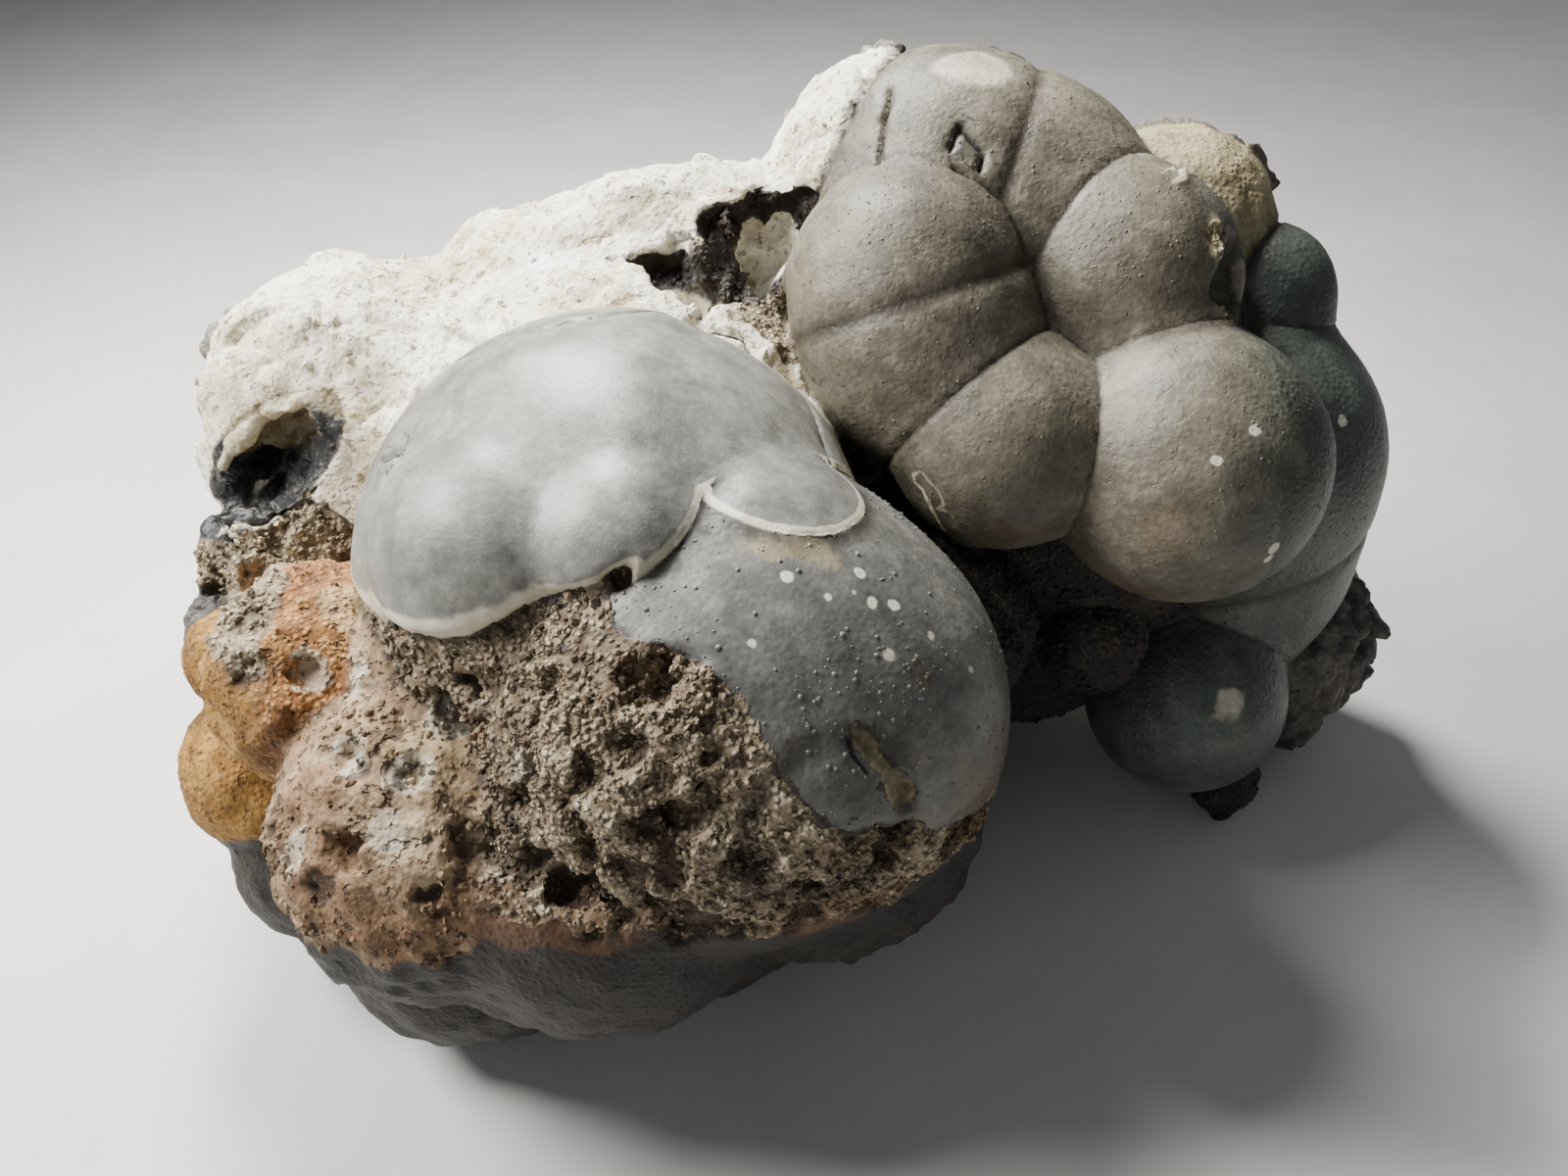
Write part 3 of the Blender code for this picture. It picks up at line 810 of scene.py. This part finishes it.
def reduce(body, goal):
    """Collapse the mesh to the wanted number of triangles, a little more at the back."""
    body.modifiers.new("triangles", "TRIANGULATE")
    bake(body)
    group = body.vertex_groups.new(name="plain")
    facing = get_normals(body.data) @ np.array(TOWARDS_VIEWER)
    ahead = facing > -0.05
    crisp = (read_field(body.data, "crack_along") > 0.1) & (np.abs(read_field(body.data, "crack_side")) < 2.0)
    for chosen, weight in ((~ahead, 1.0), (ahead, 1.0 - FRONT_SAVING), (crisp & ahead, 0.0)):
        group.add(np.nonzero(chosen)[0].tolist(), weight, "REPLACE")
    step = body.modifiers.new("reduce", "DECIMATE")
    step.decimate_type = "COLLAPSE"
    step.ratio = min(1.0, goal / len(body.data.polygons))
    step.vertex_group = "plain"
    step.vertex_group_factor = 1.0
    bake(body)
    body.vertex_groups.clear()


def make_stone():
    body = fuse()
    remesh(body, COARSE_GRID)
    break_off(body)
    remesh(body, GRID)
    round_off(body)
    roughen(body)
    sink_hollows(body)
    remesh(body, GRID)
    points = get_points(body.data)
    normals = get_normals(body.data)
    fields = zone_fields(points)
    push, marks = relief(points, normals, fields)
    moved = points + normals * push[:, None]
    moved[:, 2] = np.maximum(moved[:, 2], BASE_Z)
    set_points(body.data, moved)
    fields.update(marks)
    ragged = warped(points, 2.2, 60)
    for name, places in PATCHES.items():
        fields[name] = blobs(ragged, places)
    for name, values in fields.items():
        store(body.data, name, values)
    reduce(body, TRIANGLES)
    for face in body.data.polygons:
        face.use_smooth = True
    return body


def seats(body, densities, count, seed, clusters):
    """Places, normals and triangles of small bits strewn over the zones by their density."""
    mesh = body.data
    corners = np.empty(len(mesh.polygons) * 3, dtype=np.int32)
    mesh.polygons.foreach_get("vertices", corners)
    corners = corners.reshape(-1, 3)
    points = get_points(mesh)
    a, b, c = points[corners[:, 0]], points[corners[:, 1]], points[corners[:, 2]]
    area = lengths(np.cross(b - a, c - a)) / 2
    wanted = np.zeros(len(corners))
    for zone, density in densities.items():
        wanted += density * (read_field(mesh, zone)[corners].mean(axis=1) > 0.3)
    wanted *= 1.0 - np.clip(read_field(mesh, "split")[corners].mean(axis=1), 0.0, 1.0)
    middle = (a + b + c) / 3
    wanted *= 0.15 + fade(-0.2, 0.5, value_noise(middle / clusters, seed))
    wanted *= middle[:, 2] > BASE_Z + 3.0
    chance = area * wanted
    dice = np.random.default_rng(seed)
    picked = dice.choice(len(corners), size=count, p=chance / chance.sum())
    share = dice.dirichlet((1.0, 1.0, 1.0), size=count)
    places = share[:, :1] * a[picked] + share[:, 1:2] * b[picked] + share[:, 2:] * c[picked]
    normals = get_normals(mesh)[corners[picked]].mean(axis=1)
    normals /= lengths(normals)[:, None]
    return places, normals, corners[picked], dice


def strew(name, body, build, densities, count, sizes, sink, uneven, seed, clusters):
    """Piece of many small bits seated on the skin, each with its own turn, size and unevenness."""
    shape, faces = build()
    places, normals, corners, dice = seats(body, densities, count, seed, clusters)
    size = sizes[0] + (sizes[1] - sizes[0]) * dice.random(count) ** 2.5
    helper = np.where(np.abs(normals[:, 2:]) < 0.9, np.array((0.0, 0.0, 1.0)), np.array((1.0, 0.0, 0.0)))
    first = np.cross(normals, helper)
    first /= lengths(first)[:, None]
    second = np.cross(normals, first)
    turn = dice.random(count) * math.tau
    side = first * np.cos(turn)[:, None] + second * np.sin(turn)[:, None]
    other = np.cross(normals, side)
    stretch = 1.0 + uneven * (dice.random((count, 3)) - 0.5)
    bumps = 1.0 + 0.5 * uneven * (dice.random((count, len(shape), 1)) - 0.5)
    local = shape[None] * stretch[:, None, :] * bumps * size[:, None, None]
    spots = places[:, None] + local[:, :, :1] * side[:, None] + local[:, :, 1:2] * other[:, None]
    spots += (local[:, :, 2:] - sink * size[:, None, None]) * normals[:, None]
    order = (faces[None] + len(shape) * np.arange(count)[:, None, None]).reshape(-1, 3)
    mesh = bpy.data.meshes.new(name)
    mesh.from_pydata((spots.reshape(-1, 3) * MM).tolist(), [], order.tolist())
    for layer in body.data.attributes:
        if layer.data_type == "FLOAT" and layer.domain == "POINT":
            values = read_field(body.data, layer.name)[corners].mean(axis=1)
            # The crumbs take a fifth of the skin's painted pit shade.
            if layer.name == "pit":
                values = values * 0.2
            store(mesh, layer.name, np.repeat(values, len(shape)))
    for face in mesh.polygons:
        face.use_smooth = uneven < 0.3
    return new_object(name, mesh)


def pimple_shape():
    """Low round dome of unit radius."""
    ring = [(math.cos(k * math.tau / 6), math.sin(k * math.tau / 6)) for k in range(6)]
    spots = [(x, y, 0.0) for x, y in ring] + [(0.66 * x, 0.66 * y, 0.5) for x, y in ring] + [(0.0, 0.0, 0.68)]
    faces = []
    for k in range(6):
        n = (k + 1) % 6
        faces += [(k, n, 6 + n), (k, 6 + n, 6 + k), (6 + k, 6 + n, 12)]
    return np.array(spots), np.array(faces)


def crumb_shape():
    """Twenty-sided grain of unit radius."""
    bm = bmesh.new()
    bmesh.ops.create_icosphere(bm, subdivisions=1, radius=1.0)
    spots = [tuple(v.co) for v in bm.verts]
    faces = [[v.index for v in face.verts] for face in bm.faces]
    bm.free()
    return np.array(spots), np.array(faces)


# Strewn bits: shape, density on each zone, count, least and greatest radius, sink, unevenness, seed and size
# of their clusters.
BITS = {
    "romanechite_pimples": (pimple_shape, {"blue": 1.0, "rust": 0.8, "ochre": 0.4},
                            800, (0.14, 0.38), 0.2, 0.25, 7, 9.0),
    "romanechite_grit": (pimple_shape, {"warm": 1.0, "flank": 0.5, "tan": 0.5},
                         2200, (0.10, 0.28), 0.25, 0.25, 9, 12.0),
    "romanechite_crumbs": (crumb_shape,
                           {"earth": 1.0, "rubble": 0.8, "buff": 0.2, "valley": 0.4, "crust": 0.03},
                           6400, (0.22, 0.60), -0.05, 0.9, 8, 5.0),
}


class Paint:
    """A material under construction: short ways to add and join nodes.  Lengths are millimetres."""

    def __init__(self, name):
        self.material = bpy.data.materials.new(name)
        self.material.use_nodes = True
        self.tree = self.material.node_tree
        self.shader = self.tree.nodes["Principled BSDF"]
        place = self.node("TexCoord", {}).outputs["Object"]
        self.place = self.node("VectorMath", {0: place, "Scale": 1.0 / MM}, operation="SCALE").outputs[0]

    def join(self, value, socket):
        if isinstance(value, bpy.types.NodeSocket):
            self.tree.links.new(value, socket)
        else:
            socket.default_value = value

    def node(self, kind, values, **settings):
        """New node with the settings, and with its inputs joined or set to the values."""
        made = self.tree.nodes.new("ShaderNode" + kind)
        for name, setting in settings.items():
            setattr(made, name, setting)
        for name, value in values.items():
            self.join(value, made.inputs[name])
        return made

    def field(self, name):
        return self.node("Attribute", {}, attribute_name=name).outputs["Fac"]

    def noise(self, size, detail, rough=0.5):
        values = {"Vector": self.place, "Scale": 1.0 / size, "Detail": detail, "Roughness": rough}
        return self.node("TexNoise", values).outputs["Fac"]

    def spots(self, size):
        return self.node("TexVoronoi", {"Vector": self.place, "Scale": 1.0 / size}).outputs["Distance"]

    def distance(self, centre):
        return self.node("VectorMath", {0: self.place, 1: centre}, operation="DISTANCE").outputs["Value"]

    def math(self, operation, a, b=0.0, c=0.0):
        return self.node("Math", {0: a, 1: b, 2: c}, operation=operation).outputs[0]

    def times(self, a, b):
        return self.math("MULTIPLY", a, b)

    def plus(self, share, a, b):
        """Share of a, added to b."""
        return self.math("MULTIPLY_ADD", a, share, b)

    def fade(self, value, low, high):
        values = {"Value": value, "From Min": low, "From Max": high}
        return self.node("MapRange", values, interpolation_type="SMOOTHSTEP").outputs["Result"]

    def ramp(self, value, stops):
        """Colour that runs through the stops, each a place from 0 to 1 and a display tint."""
        node = self.node("ValToRGB", {"Fac": value})
        ramp = node.color_ramp
        while len(ramp.elements) < len(stops):
            ramp.elements.new(0.5)
        for element, (where, colour) in zip(ramp.elements, stops):
            element.position = where
            element.color = tint(*colour)
        return node.outputs["Color"]

    def blend(self, share, below, above):
        return self.node("Mix", {0: share, 6: below, 7: above}, data_type="RGBA").outputs[2]

    def level(self, share, below, above):
        return self.node("Mix", {0: share, 2: below, 3: above}, data_type="FLOAT").outputs[0]


def tint(red, green, blue):
    """Linear colour for display values from 0 to 255."""
    linear = [((v / 255 + 0.055) / 1.055) ** 2.4 if v > 10 else v / 255 / 12.92 for v in (red, green, blue)]
    return (*linear, 1.0)


# Tints of the small features, and of the floor, each with its place from 0 to 1 where they form a ramp.
GROUND_TINT = (66, 58, 49)
FRACTURE_TINTS = [(0.48, (40, 38, 36)), (0.64, (74, 70, 65)), (0.82, (116, 110, 101))]
CREAM_TINTS = [(0.3, (186, 174, 140)), (0.6, (222, 216, 198))]
VEIN_TINTS = [(0.3, (176, 160, 124)), (0.6, (214, 204, 178))]
FLOOR_TINTS = [(0.3, (204, 203, 200)), (0.7, (214, 213, 210))]
SPECK_TINT = (214, 209, 192)
# The pit tint is painted shade in pits and pinpricks, dark brown like the pits' earth.
PIT_SHADE_TINT = (52, 38, 27)
# The crease tint is painted shade and dirt for the creases between the domes.
CREASE_DIRT_AND_SHADE_TINT = (44, 36, 29)
CRACK_TINT = (26, 21, 18)

# How far along a zone's ramp its dark and light tints lie from the middle one.
RAMP_REACH = 0.16


def stone_material(shift):
    paint = Paint("romanechite_skin")
    cloud = paint.noise(16.0, 3.0, 0.55)
    mottle = paint.noise(3.6, 4.0, 0.65)
    speck = paint.noise(0.9, 3.0, 0.6)
    dust = paint.noise(0.3, 2.0)
    wobble = paint.math("SUBTRACT", paint.noise(2.4, 4.0, 0.6), 0.5)

    def ragged(name, amount):
        return paint.plus(amount, wobble, paint.field(name))

    def line_share(kind, wide, narrow):
        side = paint.math("ABSOLUTE", paint.field(kind + "_side"))
        return paint.times(paint.fade(side, wide, narrow), paint.field(kind + "_along"))

    def covered(share, strength, above):
        return paint.blend(paint.times(share, strength), colour, above)

    knob = paint.fade(paint.spots(0.85), 0.62, 0.12)
    prick = paint.fade(paint.noise(1.25, 2.0), 0.58, 0.66)
    tone = paint.plus(0.45, cloud, paint.times(mottle, 0.55))
    grain = paint.plus(0.6, speck, paint.times(dust, 0.4))

    colour = tint(*GROUND_TINT)
    gloss = 0.75
    grain_height = 0.15
    knob_height = 0.1
    prick_share = 0.1
    for zone, (dark, middle, light, rough, fine, coarse, pricks) in SKINS.items():
        edge = ragged(zone, 2.0 * BORDER_RAGGED.get(zone, 0.8))
        soft = BORDER_SOFT.get(zone, 0.15)
        share = paint.fade(edge, -soft, soft)
        rich = 0.45 if rough > 0.7 else 0.2
        varied = paint.plus(rich, grain, tone)
        if coarse > 0.12:
            varied = paint.plus(0.16, paint.math("SUBTRACT", knob, 0.5), varied)
        where = 0.5 + rich / 2
        skin = paint.ramp(varied, [(where - RAMP_REACH, dark), (where, middle), (where + RAMP_REACH, light)])
        colour = paint.blend(share, colour, skin)
        gloss = paint.level(share, gloss, rough)
        grain_height = paint.level(share, grain_height, fine)
        knob_height = paint.level(share, knob_height, coarse)
        prick_share = paint.level(share, prick_share, pricks)

    broken = paint.fade(ragged("split", 0.8), 0.15, 0.4)
    darker = paint.fade(paint.field("scar"), -0.3, 0.3)
    plain = paint.times(broken, paint.math("SUBTRACT", 1.0, darker))
    colour = covered(plain, 0.85, paint.ramp(paint.plus(0.3, grain, tone), FRACTURE_TINTS))

    edge = ragged("shell", 0.35)
    inner = ragged("rim", 0.6)
    rim = paint.times(paint.fade(edge, -0.25, 0.0), paint.fade(inner, 1.1, 0.75))
    colour = covered(rim, 0.9, paint.ramp(mottle, CREAM_TINTS))

    for name, (dark, light, strength) in PATCH_TINTS.items():
        share = paint.times(paint.fade(ragged(name, 0.9), 0.2, 0.75), strength)
        colour = paint.blend(share, colour, paint.ramp(mottle, [(0.35, dark), (0.65, light)]))

    inside = -1.0
    for centre, radius in SPECKS:
        gap = paint.math("SUBTRACT", radius, paint.distance(Vector(centre) + shift))
        inside = paint.math("MAXIMUM", inside, gap)
    dot = paint.fade(paint.plus(1.2, wobble, inside), -0.1, 0.15)
    colour = covered(dot, 0.9, tint(*SPECK_TINT))

    vein = line_share("vein", 1.0, 0.6)
    colour = covered(vein, 0.85, paint.ramp(mottle, VEIN_TINTS))
    # Painted shade in the pits, hollows, caves and pinpricks, dark brown like the pits' earth.
    pit = paint.fade(ragged("pit", 0.5), 0.25, 0.85)
    pricked = paint.times(prick, prick_share)
    colour = covered(paint.math("MAXIMUM", pit, pricked), 0.8, tint(*PIT_SHADE_TINT))
    # Painted shade and dirt in the creases between the domes, kept off the shell.
    crease = paint.fade(ragged("crease", 0.5), 0.75, 0.1)
    crease_dirt_and_shade = paint.times(crease, paint.fade(paint.field("shell"), 0.3, -0.6))
    colour = covered(crease_dirt_and_shade, 0.6, tint(*CREASE_DIRT_AND_SHADE_TINT))
    crack = line_share("crack", 0.8, 0.4)
    colour = covered(crack, 0.85, tint(*CRACK_TINT))

    paint.join(colour, paint.shader.inputs["Base Color"])
    paint.join(paint.plus(0.2, paint.math("SUBTRACT", mottle, 0.5), gloss), paint.shader.inputs["Roughness"])
    paint.shader.inputs["Specular IOR Level"].default_value = 0.45
    height = paint.times(grain, grain_height)
    height = paint.math("ADD", height, paint.times(knob, knob_height))
    height = paint.math("SUBTRACT", height, paint.times(pricked, 0.35))
    bump = paint.node("Bump", {"Strength": 1.0, "Distance": MM, "Height": height})
    paint.join(bump.outputs["Normal"], paint.shader.inputs["Normal"])
    return paint.material


def floor_material():
    paint = Paint("floor_paint")
    paint.join(paint.ramp(paint.noise(40.0, 4.0), FLOOR_TINTS), paint.shader.inputs["Base Color"])
    paint.shader.inputs["Roughness"].default_value = 0.8
    return paint.material


def add_floor():
    bm = bmesh.new()
    bmesh.ops.create_grid(bm, x_segments=1, y_segments=1, size=3.0)
    mesh = bpy.data.meshes.new("floor")
    bm.to_mesh(mesh)
    bm.free()
    floor = new_object("floor", mesh)
    floor.data.materials.append(floor_material())


# Lamps in metres, each with its place, target, size, power and colour, and the sky.
LAMPS = {
    "key_lamp": ((-0.085, 0.15, 0.30), (0, 0, 0.06), 0.10, 2.6, (1.0, 0.99, 0.96)),
    "side_lamp": ((-0.22, 0.0, 0.26), (-0.03, 0, 0.06), 0.14, 2.3, (1.0, 0.98, 0.95)),
    "fill_lamp": ((-0.4, -0.8, 0.6), (0, 0, 0.05), 0.9, 0.8, (0.95, 0.97, 1.0)),
}
SKY_COLOUR = (0.92, 0.93, 0.95, 1.0)
SKY_STRENGTH = 0.16


def add_lamp(name, place, target, size, power, colour):
    lamp = bpy.data.lights.new(name, "AREA")
    lamp.shape = "DISK"
    lamp.size = size
    lamp.energy = power
    lamp.color = colour
    holder = new_object(name, lamp)
    holder.location = place
    holder.rotation_euler = (Vector(target) - Vector(place)).to_track_quat("-Z", "Y").to_euler()


def add_lights():
    for name, lamp in LAMPS.items():
        add_lamp(name, *lamp)
    world = bpy.data.worlds.new("studio")
    bpy.context.scene.world = world
    world.use_nodes = True
    sky = world.node_tree.nodes["Background"]
    sky.inputs["Color"].default_value = SKY_COLOUR
    sky.inputs["Strength"].default_value = SKY_STRENGTH


# Camera in the table frame: place in millimetres, downward pitch in degrees, focal length.
CAMERA_PLACE = (-6.0, -131.0, 155.0)
CAMERA_PITCH = 40.0
CAMERA_LENS = 28.0


def add_camera(shift):
    lens = bpy.data.cameras.new("camera")
    lens.lens = CAMERA_LENS
    lens.sensor_width = 36.0
    lens.clip_start = 0.005
    camera = new_object("camera", lens)
    camera.location = (Vector(CAMERA_PLACE) + shift) * MM
    camera.rotation_euler = (math.radians(90.0 - CAMERA_PITCH), 0.0, 0.0)
    bpy.context.scene.camera = camera


def table_shift(body):
    """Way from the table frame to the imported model's frame, in millimetres."""
    points = get_points(body.data)
    middle = (points.min(axis=0) + points.max(axis=0)) / 2
    wanted = (np.array(CAD_LOW) + np.array(CAD_HIGH)) / 2 / MM
    return Vector((wanted[0] - middle[0], wanted[1] - middle[1], 0.0))


stone = make_stone()
shift = table_shift(stone)
skin = stone_material(shift)
bits = [strew(name, stone, *kind) for name, kind in BITS.items()]
for piece in (stone, *bits):
    piece.data.transform(Matrix.Translation(shift * MM))
    piece.data.materials.clear()
    piece.data.materials.append(skin)
    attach(piece, "root")
    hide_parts("romanechite")
add_floor()
add_lights()
add_camera(shift)
